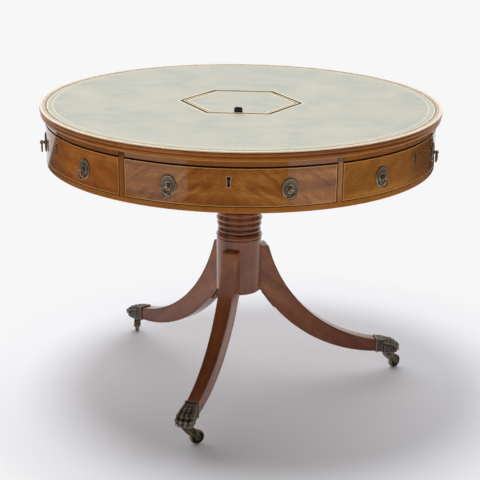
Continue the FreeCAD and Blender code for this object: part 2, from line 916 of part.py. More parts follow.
def socket_stretch(reach, start, end, proud):
    """A stretch of the sleeve, which follows the leg's toe all round."""
    margin = socket_wall + proud
    around = leg_outline(reach).face().makeOffset2D(margin)
    sleeve = around.extrude(Vector(0, leg_root_width * 2, 0))
    sleeve.translate(Vector(0, -leg_root_width, 0))
    return sleeve.common(leg_plan(reach, -margin)).common(
        block(reach + start, reach + end, leg_root_width * 2, 0, table_height))


def ankle(reach):
    """The body of the paw under the toes, rounded over and with its sides eased."""
    outline = Outline(reach + ankle_start, paw_base)
    outline.line(reach + ankle_end, paw_base)
    outline.line(reach + pad_reach, paw_base + pad_rise)
    outline.line(reach + pad_reach, paw_base + pad_height)
    outline.bow(reach + ankle_start, toe_top + socket_wall, -ankle_bow)
    body = outline.sawn(ankle_width)
    sides = [edge for edge in body.Edges if runs_upright(edge)]
    return body.makeFillet(ankle_round, sides)


def runs_upright(edge):
    """True of a straight edge along Z."""
    if len(edge.Vertexes) < 2:
        return False
    way = edge.Vertexes[1].Point - edge.Vertexes[0].Point
    return abs(way.z) > way.Length * upright_share


def knuckle(start, end, radius):
    """A short bar with round ends."""
    way = end - start
    bar = Part.makeCylinder(radius, way.Length, start, way)
    return bar.fuse([Part.makeSphere(radius, start), Part.makeSphere(radius, end)])


def toe(root, offset, fan, set_back):
    """One toe from its root's radius: three knuckles that step down, and a claw."""
    pieces = []
    for start, end, drop, thickness in toe_knuckles:
        height = toe_top - drop
        fall = (end - start) * knuckle_slope_share
        back = Vector(root + start - set_back, offset, height)
        fore = Vector(root + end - set_back, offset, height - fall)
        pieces.append(knuckle(back, fore, thickness))
    way = Vector(claw_reach, 0, -claw_drop)
    pieces.append(Part.makeCone(claw_radius, claw_tip_radius, way.Length, fore, way))
    whole = pieces[0].fuse(pieces[1:])
    whole.rotate(Vector(root + ankle_start, offset, toe_top), UP, fan)
    return whole


def paw(reach):
    """A brass socket with two collars that holds the leg's toe, and the lion's paw on it."""
    foot = socket_stretch(reach, -socket_length, ankle_start + overrun, 0)
    first = socket_stretch(reach, -socket_length, collar_width - socket_length, collar_proud)
    last_start = ankle_start - collar_width
    last = socket_stretch(reach, last_start, ankle_start, collar_proud / 2)
    foot = foot.fuse([first, last, ankle(reach)])
    for place in zip(toe_offsets, toe_fans, toe_set_backs):
        foot = foot.fuse(toe(reach, *place))
    below = block(reach - socket_length, reach + top_radius, leg_root_width * 2, 0, paw_base)
    foot = foot.cut(below)
    bore = caster_stem_radius + caster_stem_clearance
    high = paw_base + caster_stem_length + caster_stem_clearance
    hole = Part.makeCylinder(bore, high, Vector(reach + caster_stem_lead, 0, 0))
    return foot.cut(hole).cut(leg_blank(reach)).removeSplitter()


def place_caster(shape, number):
    """Turn a caster piece to its trail and set it under its paw."""
    placed = at_azimuth(shape, caster_azimuths[number])
    azimuth = math.radians(leg_azimuth(number))
    way = Vector(math.sin(azimuth), -math.cos(azimuth), 0)
    placed.translate(way * (leg_reaches[number] + caster_stem_lead))
    return placed


def horn_outline():
    """The horn's side, from under the crown down to the axle, without its round end."""
    outline = Outline(-crown_radius, horn_height)
    outline.line(-crown_radius, horn_height - horn_thickness)
    outline.bow(caster_trail - cheek_radius, wheel_radius, -horn_lower_bow)
    outline.line(caster_trail + cheek_radius, wheel_radius)
    outline.bow(crown_radius, horn_height, -horn_upper_bow)
    return outline


def caster_fork():
    """The swivelling fork: stem, crown, a horn slotted for the wheel, and the axle."""
    inner = wheel_width + wheel_side_gap * 2
    outer = inner + cheek_thickness * 2
    horn = horn_outline().sawn(outer)
    horn = horn.fuse(rod_across(caster_trail, wheel_radius, cheek_radius, outer))
    horn = horn.cut(rod_across(caster_trail, wheel_radius, wheel_radius + wheel_headroom, inner))
    crown = Part.makeCylinder(crown_radius, crown_thickness, Vector(0, 0, horn_height))
    stem_top = paw_base + caster_stem_length - crown_gap
    stem = Part.makeCylinder(caster_stem_radius, stem_top - horn_height, Vector(0, 0, horn_height))
    axle = rod_across(caster_trail, wheel_radius, axle_radius, outer + axle_head * 2)
    return horn.fuse([crown, stem, axle]).removeSplitter()


def caster_wheel():
    """The brass wheel: a rounded tread and a dished web round a hub, bored for the axle."""
    half = wheel_width / 2
    bore = axle_radius + axle_clearance
    rim = wheel_radius - wheel_rim
    tread = wheel_radius - wheel_round
    outline = Outline(bore, -half)
    outline.line(wheel_hub_radius, -half)
    outline.line(wheel_hub_radius, wheel_dish - half)
    outline.line(rim, wheel_dish - half)
    outline.line(rim, -half)
    outline.line(tread, -half)
    outline.bow(wheel_radius, wheel_round - half, -wheel_round * corner_bow_share)
    outline.line(wheel_radius, half - wheel_round)
    outline.bow(tread, half, -wheel_round * corner_bow_share)
    outline.line(rim, half)
    outline.line(rim, half - wheel_dish)
    outline.line(wheel_hub_radius, half - wheel_dish)
    outline.line(wheel_hub_radius, half)
    outline.line(bore, half)
    wheel = outline.turned()
    wheel.rotate(CENTRE, Vector(1, 0, 0), quarter_turn)
    wheel.translate(Vector(caster_trail, 0, wheel_radius))
    return wheel


def all_nodes():
    """Every node of the table, by name."""
    nodes = {
        "top_board": at_azimuth(top_board(), 0),
        "top_crossband": at_azimuth(top_crossband(), 0),
        "top_leather": at_azimuth(top_leather(), 0),
        "upper_rail": upper_rail(),
        "lower_rail": lower_rail(),
        "drum_floor": drum_floor(),
        "drawer_dividers": drawer_dividers(),
        "drawer_runners": drawer_runners(),
        "well_box": well_box(),
        "lid_panel": lid_panel(),
        "lid_leather": lid_leather(),
        "lid_tab": lid_tab(),
        "hinge_fixed_leaves": hinge_fixed_leaves(),
        "hinge_moving_leaves": hinge_moving_leaves(),
        "pillar": pillar(),
        "bearer_block": bearer_block(),
        "spindle": spindle(),
        "leg_strap": leg_strap(),
        "strap_screws": strap_screws(),
        "paw_sockets": group(all_legs(paw)),
    }
    front, box, brass, ring = drawer_front(), drawer_box(), drawer_brass(), pull_ring()
    for number in range(drawer_count):
        azimuth = sector_angle * number
        name = str(number + 1)
        nodes["drawer_front_" + name] = at_azimuth(front, azimuth)
        nodes["drawer_box_" + name] = at_azimuth(box, azimuth)
        nodes["drawer_brass_" + name] = at_azimuth(brass, azimuth)
        nodes["pull_ring_left_" + name] = at_azimuth(ring, azimuth - pull_azimuth)
        nodes["pull_ring_right_" + name] = at_azimuth(ring, azimuth + pull_azimuth)
    fork, wheel = caster_fork(), caster_wheel()
    for number, leg_shape in enumerate(all_legs(leg)):
        name = str(number + 1)
        nodes["leg_" + name] = leg_shape
        nodes["caster_fork_" + name] = place_caster(fork, number)
        nodes["caster_wheel_" + name] = place_caster(wheel, number)
    return nodes


os.makedirs("parts", exist_ok=True)
for node_name, node_shape in all_nodes().items():
    node_shape.exportStep("parts/" + node_name + ".step")
    print(node_name, len(node_shape.Solids), "solids,", round(node_shape.Volume), "mm3")
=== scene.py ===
# %% [markdown]
# # A drum writing table, finished in Blender
# The table comes out of CAD as bare solids: a round top on a drum of six drawers, a ringed
# pillar, three swept legs and brass paws on casters. This lesson gives it polish, grain,
# tooled leather and old brass. Everything stays in metres and in the CAD model's own place,
# so a piece never has to be fitted by eye.

# %% Load the frame
import json
import math

import bmesh
import bpy
from mathutils import Matrix, Vector

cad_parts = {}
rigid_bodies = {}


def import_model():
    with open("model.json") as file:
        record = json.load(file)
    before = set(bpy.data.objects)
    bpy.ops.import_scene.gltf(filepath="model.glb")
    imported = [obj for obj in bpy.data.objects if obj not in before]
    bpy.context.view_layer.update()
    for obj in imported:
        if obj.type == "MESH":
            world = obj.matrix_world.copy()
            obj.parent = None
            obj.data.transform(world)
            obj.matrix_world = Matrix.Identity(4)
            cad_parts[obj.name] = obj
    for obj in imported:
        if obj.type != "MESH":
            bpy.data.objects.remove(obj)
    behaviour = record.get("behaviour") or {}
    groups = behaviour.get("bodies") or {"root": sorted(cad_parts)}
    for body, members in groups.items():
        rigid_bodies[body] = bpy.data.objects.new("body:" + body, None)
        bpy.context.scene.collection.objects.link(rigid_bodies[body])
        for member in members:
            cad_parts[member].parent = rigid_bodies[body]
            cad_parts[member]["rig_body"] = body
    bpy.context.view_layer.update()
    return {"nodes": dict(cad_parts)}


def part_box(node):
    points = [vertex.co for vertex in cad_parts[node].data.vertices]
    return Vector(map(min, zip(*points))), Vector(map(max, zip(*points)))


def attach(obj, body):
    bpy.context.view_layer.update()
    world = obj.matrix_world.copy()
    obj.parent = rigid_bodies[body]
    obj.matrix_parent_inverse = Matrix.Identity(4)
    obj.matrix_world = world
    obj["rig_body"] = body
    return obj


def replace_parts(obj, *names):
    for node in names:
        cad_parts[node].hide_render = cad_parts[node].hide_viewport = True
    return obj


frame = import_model()
MM = 0.001

# %% [markdown]
# ## Measurements
# The patterns need to know where the table's parts are. The sizes could be typed in again,
# but they are read from the solids instead, so that the patterns follow the model when it
# changes. An azimuth is an angle round the table from its front, which faces -Y, and it
# grows towards +X.

# %% Measure the table
top_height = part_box("top_crossband")[1].z
board_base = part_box("top_board")[0].z
top_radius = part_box("top_board")[1].x
leather_radius = -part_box("top_leather")[0].y
frieze_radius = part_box("upper_rail")[1].x
front_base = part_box("drawer_front_1")[0].z
front_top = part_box("drawer_front_1")[1].z
leg_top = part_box("leg_1")[1].z
lid_flat = -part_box("lid_panel")[0].y
DRAWERS = range(1, 7)
LEGS = (1, 2, 3)
SECTOR = math.radians(60)
print("top", round(top_radius, 4), "high", round(top_height, 4), "lid", round(lid_flat, 4))


def outward(azimuth):
    """The level direction that an azimuth points to."""
    return Vector((math.sin(azimuth), -math.cos(azimuth), 0))


def azimuth_of(point):
    return math.atan2(point[0], -point[1])


# %% [markdown]
# ## Shader arithmetic
# A finish is a web of nodes. Wiring it by hand takes a page for one formula, so a small class
# wraps a socket and lets Python's operators add the Math nodes. A second class holds the web,
# with one method that makes any other node, and a third is a web that belongs to a material.
# The world is lit by the second class too, further down.

# %% Sockets that do arithmetic
class Signal:
    """A value on its way through a web; arithmetic on it adds Math nodes."""

    def __init__(self, web, socket):
        self.web = web
        self.socket = socket

    def math(self, operation, *values):
        return self.web.node("ShaderNodeMath", {"operation": operation}, values)

    def __add__(self, other):
        return self.math("ADD", self, other)

    def __sub__(self, other):
        return self.math("SUBTRACT", self, other)

    def __rsub__(self, other):
        return self.math("SUBTRACT", other, self)

    def __mul__(self, other):
        return self.math("MULTIPLY", self, other)

    def __truediv__(self, other):
        return self.math("DIVIDE", self, other)

    def __abs__(self):
        return self.math("ABSOLUTE", self)

    __radd__ = __add__
    __rmul__ = __mul__

    def larger(self, other):
        return self.math("MAXIMUM", self, other)

    def smaller(self, other):
        return self.math("MINIMUM", self, other)

    def rise(self, start, end):
        """0 up to start, 1 from end on, and smooth between."""
        return self.web.node(
            "ShaderNodeMapRange", {"interpolation_type": "SMOOTHSTEP"},
            {"Value": self, "From Min": start, "From Max": end})

    def between(self, low, high, soft):
        """1 between low and high, fading to 0 over a soft edge."""
        return self.rise(low - soft, low) * (1 - self.rise(high, high + soft))


print("a signal can be added, multiplied and compared")

# %% Webs and finishes
class Web:
    """A tree of nodes, emptied and ready to be filled."""

    def __init__(self, tree):
        self.tree = tree
        tree.nodes.clear()

    def node(self, kind, settings=(), inputs=(), output=0):
        """A node of any kind; output None gives all its outputs."""
        made = self.tree.nodes.new(kind)
        for key, value in dict(settings).items():
            if key == "stops":
                self.set_stops(made.color_ramp, value)
            else:
                setattr(made, key, value)
        pairs = inputs.items() if isinstance(inputs, dict) else enumerate(inputs)
        for key, value in pairs:
            if isinstance(value, Signal):
                self.tree.links.new(value.socket, made.inputs[key])
            else:
                made.inputs[key].default_value = value
        sockets = [Signal(self, socket) for socket in made.outputs]
        return sockets[output] if sockets and output is not None else sockets

    def set_stops(self, ramp, stops):
        while len(ramp.elements) < len(stops):
            ramp.elements.new(1)
        for element, (place, colour) in zip(ramp.elements, stops):
            element.position = place
            element.color = (*colour, 1)


CAMERA_RAY = 0
GLOSSY_RAY = 3
OBJECT_COORDINATES = 3
MIXED_COLOUR = 2


class Finish(Web):
    """One material, with its nodes."""

    def __init__(self, name):
        self.material = bpy.data.materials.new(name)
        self.material.use_nodes = True
        super().__init__(self.material.node_tree)

    def point(self):
        """The point in the table's frame, in metres, as one vector."""
        return self.node("ShaderNodeTexCoord", output=OBJECT_COORDINATES)

    def place(self):
        """The same point as x, y and z."""
        return self.node("ShaderNodeSeparateXYZ", inputs=[self.point()], output=None)

    def vector(self, x, y, z):
        return self.node("ShaderNodeCombineXYZ", inputs=[x, y, z])

    def length(self, x, y):
        """How long the level line from the origin to x, y is."""
        return self.node("ShaderNodeMath", {"operation": "SQRT"}, [x * x + y * y])

    def turn(self, x, y):
        """The azimuth of x, y, from the front towards +X."""
        return self.node("ShaderNodeMath", {"operation": "ARCTAN2"}, [x, y * -1])

    def noise(self, vector, scale=1, detail=3, roughness=0.5, distortion=0):
        return self.node("ShaderNodeTexNoise", inputs={
            "Vector": vector, "Scale": scale, "Detail": detail, "Roughness": roughness,
            "Distortion": distortion})

    def ramp(self, value, stops):
        return self.node("ShaderNodeValToRGB", {"stops": stops}, [value])

    def mix(self, factor, first, second):
        """Two colours mixed by a factor."""
        sockets = {0: factor, 6: first, 7: second}
        return self.node("ShaderNodeMix", {"data_type": "RGBA"}, sockets, MIXED_COLOUR)

    def bump(self, height, depth, strength):
        return self.node("ShaderNodeBump", inputs={
            "Strength": strength, "Distance": depth, "Height": height})

    def surface(self, **sockets):
        """The shader itself. A socket's name has its spaces written as underscores."""
        names = {key.replace("_", " "): value for key, value in sockets.items()}
        shader = self.node("ShaderNodeBsdfPrincipled", inputs=names)
        self.node("ShaderNodeOutputMaterial", inputs=[shader])
        return self.material


def reach_and_side(x, y, azimuth):
    """How far out x, y lies towards an azimuth, and how far to its side."""
    reach = x * math.sin(azimuth) - y * math.cos(azimuth)
    side = x * math.cos(azimuth) + y * math.sin(azimuth)
    return reach, side


print("webs and finishes ready")

# %% Colours
def srgb(red, green, blue):
    """A colour as a screen shows it, 0 to 255, in the linear numbers that nodes use."""
    values = [channel / 255 for channel in (red, green, blue)]
    return tuple(v / 12.92 if v <= 0.04045 else ((v + 0.055) / 1.055) ** 2.4 for v in values)


def rgba(colour):
    return (*colour, 1)


print("a grey of 128 is", round(srgb(128, 128, 128)[0], 3), "to a node")

# %% [markdown]
# ## Mahogany
# Old mahogany is several things at once: broad ribbons of light and dark that run with the
# tree, fine fibres a millimetre or two wide, short dark pores that catch polish, and a
# cloudy mottle across them. A photograph of a board could stand for all that, but it would
# repeat, and it would tie the grain to one shape. Here each is a stretched noise, read in the
# board's own directions, along and across the grain, so one function serves the turned
# pillar, the legs and the veneers. The factors in it are noise cells to the metre. A veneer
# cut from a fork of the tree also has a flame: streaks that lean away from its middle.

# %% Wood in layers
MAHOGANY = (srgb(86, 42, 15), srgb(142, 80, 29), srgb(174, 106, 42), srgb(204, 138, 66))
DARK_MAHOGANY = (srgb(80, 38, 22), srgb(126, 68, 38), srgb(154, 90, 52), srgb(182, 116, 70))
EDGE_MAHOGANY = (srgb(104, 52, 18), srgb(154, 88, 32), srgb(178, 106, 40), srgb(198, 128, 54))
RAIL_MAHOGANY = (srgb(112, 60, 22), srgb(168, 100, 38), srgb(190, 120, 48), srgb(210, 142, 64))
STILE_TOP = (srgb(66, 32, 16), srgb(92, 50, 26), srgb(108, 62, 34), srgb(124, 76, 44))
TONE_STOPS = (0.22, 0.42, 0.6, 0.8)


def wood_layers(finish, along, across, depth, seed, tones, figure=1.0, flame=0):
    """The colour, the pores and the fibres of a board, from metres along and across it."""
    ribbons = finish.noise(finish.vector(along * 1.6 + seed, across * 24, depth * 24),
                           detail=3, distortion=0.5 * figure)
    fibres = finish.noise(finish.vector(along * 14, across * 620 + seed, depth * 620),
                          detail=3, roughness=0.7)
    pores = finish.noise(finish.vector(along * 60 + seed, across * 1500, depth * 1500),
                         detail=1)
    mottle = finish.noise(finish.vector(along * 26, across * 9 + seed, depth * 9),
                          detail=2, distortion=0.8)
    level = ribbons * 0.9 + fibres * 0.4 + mottle * 0.22 * figure - 0.28
    if flame:
        half = abs(along)
        leaning = finish.vector(half * 13 - across * 10 + seed, half * 44 + across * 66, depth)
        streaks = finish.noise(leaning, detail=6, roughness=0.66, distortion=0.5)
        level = level + (streaks - 0.5) * flame
    colour = finish.ramp(level, list(zip(TONE_STOPS, tones)))
    flecks = finish.noise(finish.vector(along * 80, across * 430 + seed, depth * 430), detail=1)
    colour = finish.mix(flecks.rise(0.62, 0.78) * 0.5, colour, rgba(tones[0]))
    colour = finish.mix(pores.rise(0.62, 0.74) * 0.5, colour, rgba(tones[0]))
    return colour, pores, fibres


print("wood in", len(TONE_STOPS), "tones")

# %% [markdown]
# ## French polish
# The table is French polished: dozens of thin coats of shellac, rubbed until they shine. One
# low roughness would make the wood itself look wet, so the wood stays fairly dull and a clear
# coat lies over it. The coat is sharper on the drawer fronts than on the legs, which feet
# and brooms have rubbed.

# %% Polish
PORE_DEPTH = 0.05 * MM


def polish(finish, colour, pores, fibres, coat=1.0, coat_rough=0.045, shine=0.06):
    """French polish over a board: a soft clear coat that dips a little into the pores."""
    wear = finish.noise(finish.point(), 9, 3)
    roughness = 0.2 + wear * 0.14 + pores.rise(0.6, 0.75) * 0.12
    height = fibres * 0.5 - pores.rise(0.62, 0.74)
    return finish.surface(
        Base_Color=colour, Roughness=roughness, Specular_IOR_Level=shine, Coat_Weight=coat,
        Coat_Roughness=coat_rough, Normal=finish.bump(height, PORE_DEPTH, 0.4))


print("polish dips", round(PORE_DEPTH / MM, 3), "mm into a pore")

# %% [markdown]
# ## Upright grain
# The pillar is turned from an upright billet, and the narrow stiles between the drawers stand
# too, so height is the direction along their grain. The grooves between the pillar's rings get
# painted shade, nearly black. An Ambient Occlusion node could find the grooves, but it
# darkens every other corner too; the distance from the pillar's middle finds them alone.

# %% Pillar and stiles
PILLAR_RADIUS = 57.5 * MM
GROOVE_DEPTH = 3.6 * MM
GROOVE_LIP = 2 * MM
GROOVE_SHADE = srgb(44, 22, 14)


def stile_mahogany():
    finish = Finish("stile mahogany")
    x, y, z = finish.place()
    return polish(finish, *wood_layers(finish, z, x, y, 8.4, EDGE_MAHOGANY))


def pillar_mahogany():
    finish = Finish("pillar mahogany")
    x, y, z = finish.place()
    colour, pores, fibres = wood_layers(finish, z, x, y, 3.1, DARK_MAHOGANY)
    radius = finish.length(x, y)
    proud = radius.rise(PILLAR_RADIUS - GROOVE_DEPTH, PILLAR_RADIUS - GROOVE_LIP)
    # Painted shade: the grooves between the rings are painted nearly black.
    groove_shade = (1 - proud) * z.rise(leg_top, leg_top + 6 * MM)
    colour = finish.mix(groove_shade * 0.6, colour, rgba(GROOVE_SHADE))
    return polish(finish, colour, pores, fibres, coat_rough=0.07)


pillar_wood = pillar_mahogany()
stile_wood = stile_mahogany()
print("grooves go black below radius", round(PILLAR_RADIUS - GROOVE_DEPTH, 4))

# %% [markdown]
# ## Veneers that follow the drum
# The drawer fronts, the rails and the edge of the top are bent, and their grain bends with
# them. A straight pattern would shear towards the ends, so the shader turns the point to the
# drawer's own azimuth and takes the distance round the drum as the direction along the grain.
# Each front gets a slice of its own and a tint of its own, and the side fronts turn darker
# towards one end, so no two match. The thin boxwood lines let in near the edges of a front could
# be strips of their own, but they are flush, so they are part of the finish.

# %% Round the drum
def round_drum(finish, azimuth):
    """Radius, metres round the drum from an azimuth, height, reach and side."""
    x, y, z = finish.place()
    reach, side = reach_and_side(x, y, azimuth)
    around = finish.turn(side, reach * -1) * frieze_radius
    return finish.length(x, y), around, z, reach, side


SOFT = 0.25 * MM
print("one drawer takes", round(SECTOR * frieze_radius, 4), "m round the drum")

# %% Drawer veneer with boxwood lines
BOXWOOD_AND_HIGHLIGHT = srgb(224, 170, 92)
EBONY_AND_SHADE = srgb(24, 15, 10)
GOLDEN = srgb(204, 138, 62)
RUSSET = srgb(186, 100, 40)
TINTS = {1: (0.02, GOLDEN), 2: (0.34, GOLDEN), 3: (0.1, RUSSET), 4: (0, GOLDEN),
         5: (0.14, GOLDEN), 6: (0.34, RUSSET)}
DARK_END_TONE = srgb(84, 38, 18)
DARK_END_SIDE = {2: 1, 3: -1, 5: 1, 6: -1}
DARK_END_START = -80 * MM
DARK_END_FULL = 60 * MM
LINE = 1.1 * MM
LINE_INSET = 0.5 * MM
END_LINE_INSET = 8.9 * MM
SHADED_EDGE_DEPTH = 8 * MM


def boxwood_lines(z, to_end):
    """The lines along a front's upper and lower edges and up its two ends."""
    upper = front_top - LINE_INSET
    lower = front_base + LINE_INSET
    lines = z.between(upper - LINE, upper, SOFT)
    lines = lines.larger(z.between(lower, lower + LINE, SOFT))
    inside = z.between(lower, upper, SOFT)
    lines = lines.larger(to_end.between(END_LINE_INSET, END_LINE_INSET + LINE, SOFT) * inside)
    return lines * to_end.rise(END_LINE_INSET - SOFT, END_LINE_INSET)


def drawer_veneer(number):
    """Bent veneer with its lines on the face, and painted shade on the edges round it."""
    finish = Finish("drawer veneer " + str(number))
    radius, around, z, reach, side = round_drum(finish, SECTOR * (number - 1))
    colour, pores, fibres = wood_layers(
        finish, around, z, radius, number * 7.3, MAHOGANY, figure=1.4, flame=0.8)
    share, tint = TINTS[number]
    colour = finish.mix(share, colour, rgba(tint))
    # Some fronts turn darker towards one end.
    if number in DARK_END_SIDE:
        end_darkening = (around * DARK_END_SIDE[number]).rise(DARK_END_START, DARK_END_FULL)
        colour = finish.mix(end_darkening * 0.5, colour, rgba(DARK_END_TONE))
    face = radius.rise(frieze_radius - 0.6 * MM, frieze_radius - 0.2 * MM)
    to_end = reach * math.sin(SECTOR / 2) - abs(side) * math.cos(SECTOR / 2)
    colour = finish.mix(boxwood_lines(z, to_end) * face * 0.95, colour, rgba(BOXWOOD_AND_HIGHLIGHT))
    # Painted shade: the front's edges behind its face, in the gap round the drawer, are painted
    # nearly black.
    outer = radius.rise(frieze_radius - SHADED_EDGE_DEPTH, frieze_radius - SHADED_EDGE_DEPTH + MM)
    colour = finish.mix(outer * (1 - face) * 0.8, colour, rgba(EBONY_AND_SHADE))
    return polish(finish, colour, pores, fibres)


drawer_woods = {number: drawer_veneer(number) for number in DRAWERS}
print(len(drawer_woods), "drawer veneers")

# %% [markdown]
# ## Rails and the top's edge
# The rail over the drawers is one bent strip, but the stiles seem to run up through it,
# because the maker let in short upright blocks between dark joints. They could be modelled as
# blocks. They lie flush, so the shader draws them: it folds the drum into sectors and
# measures how far a point is from the nearest stile. The upper rail, under the top's
# overhang, is painted darker as painted shade. The edge of the top is duller than the
# fronts, and the fillet under its reeds gets a painted highlight, a pale golden line.

# %% Rails and edge
STILE_HALF = 8.2 * MM
RAIL_PAINTED_SHADE = srgb(96, 50, 30)
FILLET_LOW = 0.4 * MM
FILLET_HIGH = 3.0 * MM


def edge_mahogany():
    """The top's edge, whose grain runs round the drum."""
    finish = Finish("edge mahogany")
    radius, around, z, reach, side = round_drum(finish, 0)
    colour, pores, fibres = wood_layers(
        finish, around, z, radius, 17.0, EDGE_MAHOGANY, figure=0.7)
    # Painted highlight: the fillet under the reeds is painted a pale golden line.
    fillet = z.between(board_base + FILLET_LOW, board_base + FILLET_HIGH, SOFT)
    colour = finish.mix(fillet * 0.6, colour, rgba(BOXWOOD_AND_HIGHLIGHT))
    return polish(finish, colour, pores, fibres, coat=0.34, coat_rough=0.2)


def rail_mahogany():
    """The rails, with the stiles' upright ends let into the upper one."""
    finish = Finish("rail mahogany")
    radius, around, z, reach, side = round_drum(finish, 0)
    colour, pores, fibres = wood_layers(
        finish, around, z, radius, 11.0, RAIL_MAHOGANY, figure=0.9)
    upright = wood_layers(finish, z, side, reach, 13.0, STILE_TOP)[0]
    half_sector = SECTOR / 2 * frieze_radius
    folded = finish.node("ShaderNodeMath", {"operation": "PINGPONG"}, [abs(around), half_sector])
    from_stile = half_sector - folded
    above = z.rise(front_top, front_top + MM)
    stile = (1 - from_stile.rise(STILE_HALF, STILE_HALF + SOFT)) * above
    joint = from_stile.between(STILE_HALF - SOFT, STILE_HALF + 2 * SOFT, SOFT) * above
    # Painted shade: the upper rail, under the top's overhang, is painted darker.
    colour = finish.mix(above * 0.45, colour, rgba(RAIL_PAINTED_SHADE))
    colour = finish.mix(stile * 0.95, colour, upright)
    colour = finish.mix(joint * 0.85, colour, rgba(EBONY_AND_SHADE))
    return polish(finish, colour, pores, fibres)


rail_wood = rail_mahogany()
edge_wood = edge_mahogany()
print("stile ends", round(2 * STILE_HALF / MM, 1), "mm wide on the upper rail")

# %% [markdown]
# ## The rim of the top
# The crossband is laid with its grain pointing outwards, in short pieces that differ a
# little. Each piece could be a mesh, but only its tint would tell it from the next, so the
# angle round the top counts the pieces and a random tint colours each. The radius gives the
# lines: a pale one and a dark one at the inner edge, and a painted highlight on the
# rounding at the rim.

# %% Crossband
CROSSBAND = (srgb(152, 114, 74), srgb(190, 154, 110), srgb(210, 176, 134), srgb(226, 198, 158))
BAND_PIECES = 42
PALE_LINE_AND_SHEEN = srgb(238, 222, 190)
DARK_LINE = srgb(74, 54, 36)
DARK_LINE_WIDTH = 2.6 * MM
DARK_LINE_EDGE = 0.4 * MM
ROUNDING_START = 8.4 * MM
ROUNDING_FULL = 5.9 * MM
pale_line_end = leather_radius + 0.3 * MM


def crossband_finish():
    finish = Finish("crossband")
    x, y, z = finish.place()
    radius = finish.length(x, y)
    turn = finish.turn(x, y)
    piece = finish.node("ShaderNodeMath", {"operation": "FLOOR"},
                        [turn * (BAND_PIECES / math.tau)])
    colour, pores, fibres = wood_layers(
        finish, radius, turn * top_radius, z, 5.0, CROSSBAND)
    tint = finish.node("ShaderNodeTexWhiteNoise", {"noise_dimensions": "1D"}, {"W": piece})
    colour = finish.mix(tint * 0.3, colour, rgba(CROSSBAND[0]))
    inner = 1 - radius.rise(pale_line_end, pale_line_end + SOFT)
    colour = finish.mix(inner, colour, rgba(PALE_LINE_AND_SHEEN))
    dark = radius.between(pale_line_end, pale_line_end + DARK_LINE_WIDTH, DARK_LINE_EDGE)
    colour = finish.mix(dark * 0.85, colour, rgba(DARK_LINE))
    # Painted highlight: the rounding at the rim is painted pale.
    rounded = radius.rise(top_radius - ROUNDING_START, top_radius - ROUNDING_FULL)
    colour = finish.mix(rounded * 0.95, colour, rgba(PALE_LINE_AND_SHEEN))
    return polish(finish, colour, pores, fibres, coat=(1 - dark * 0.8) * 0.9)


crossband_wood = crossband_finish()
print("crossband in", BAND_PIECES, "pieces")

# %% [markdown]
# ## Legs
# A swept leg is sawn from a straight plank, so its grain runs straight from knee to toe and
# only the outline bends. Grain that followed the curve would look like bent laminate. The
# shader turns each leg to one common plane and tilts the grain to the line between the leg's
# two ends. The legs turn darker and redder towards the toes, and the front leg is painted a
# shade paler, as painted light.

# %% Leg mahogany
LEG_SLOPE = math.radians(-41)
TOE_TONE = srgb(104, 42, 24)
TOE_LOW = 110 * MM
TOE_HIGH = 300 * MM
FRONT_PAINTED_LIGHT = 0.2


def leg_mahogany(number):
    azimuth = azimuth_of(sum(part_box("leg_" + str(number)), Vector()) / 2)
    finish = Finish("leg mahogany " + str(number))
    x, y, z = finish.place()
    reach, side = reach_and_side(x, y, azimuth)
    along = reach * math.cos(LEG_SLOPE) + z * math.sin(LEG_SLOPE)
    across = z * math.cos(LEG_SLOPE) - reach * math.sin(LEG_SLOPE)
    colour, pores, fibres = wood_layers(
        finish, along, across, side, number * 4.7, DARK_MAHOGANY, figure=1.5)
    in_front = abs(azimuth) < SECTOR
    # Painted light: the front leg is painted a shade paler than the others.
    if in_front:
        colour = finish.mix(FRONT_PAINTED_LIGHT, colour, rgba(DARK_MAHOGANY[3]))
    # Darker and redder towards the toes.
    toe = 1 - z.rise(TOE_LOW, TOE_HIGH)
    colour = finish.mix(toe * 0.5, colour, rgba(TOE_TONE))
    return polish(finish, colour, pores, fibres, coat=0.72, coat_rough=0.13)


leg_woods = {number: leg_mahogany(number) for number in LEGS}
print(len(leg_woods), "leg woods")

# %% [markdown]
# ## Plain inside woods
# Drawer linings are oak and the hidden floor is pine. They were never polished, so they get
# no coat: they are dry, paler and rougher, and the drawer sides show a long straight grain.
# The same wood layers serve them, in other tones.

# %% Oak and pine
OAK = (srgb(104, 76, 46), srgb(134, 102, 64), srgb(152, 120, 80), srgb(170, 138, 96))
PINE = (srgb(96, 64, 38), srgb(124, 86, 52), srgb(142, 104, 66), srgb(158, 120, 80))
DRY_GRAIN_DEPTH = 0.12 * MM


def dry_wood(name, azimuth, seed, tones):
    """Unpolished wood whose grain points to an azimuth."""
    finish = Finish(name)
    x, y, z = finish.place()
    reach, side = reach_and_side(x, y, azimuth)
    colour, pores, fibres = wood_layers(finish, reach, z, side, seed, tones)
    height = fibres - pores.rise(0.6, 0.74)
    return finish.surface(Base_Color=colour, Roughness=0.62 + fibres * 0.25,
                          Normal=finish.bump(height, DRY_GRAIN_DEPTH, 0.6))


linings = {number: dry_wood("oak lining " + str(number), SECTOR * (number - 1), number * 3.3, OAK)
           for number in DRAWERS}
floor_pine = dry_wood("drum pine", 0, 2.2, PINE)
print(len(linings), "linings")

# %% [markdown]
# ## Tooled leather
# The writing surface is a grey-green hide with gilt lines near the rim and round the lid. The
# hide is worn and cloudy, and its grain is a cell pattern about a millimetre across. The
# lines are pressed in with a hot tool, so they dip the bump as well as change the colour.
# They could be thin meshes, but real gold leaf has no thickness and wears off in specks,
# which a mask of distance and noise gives.

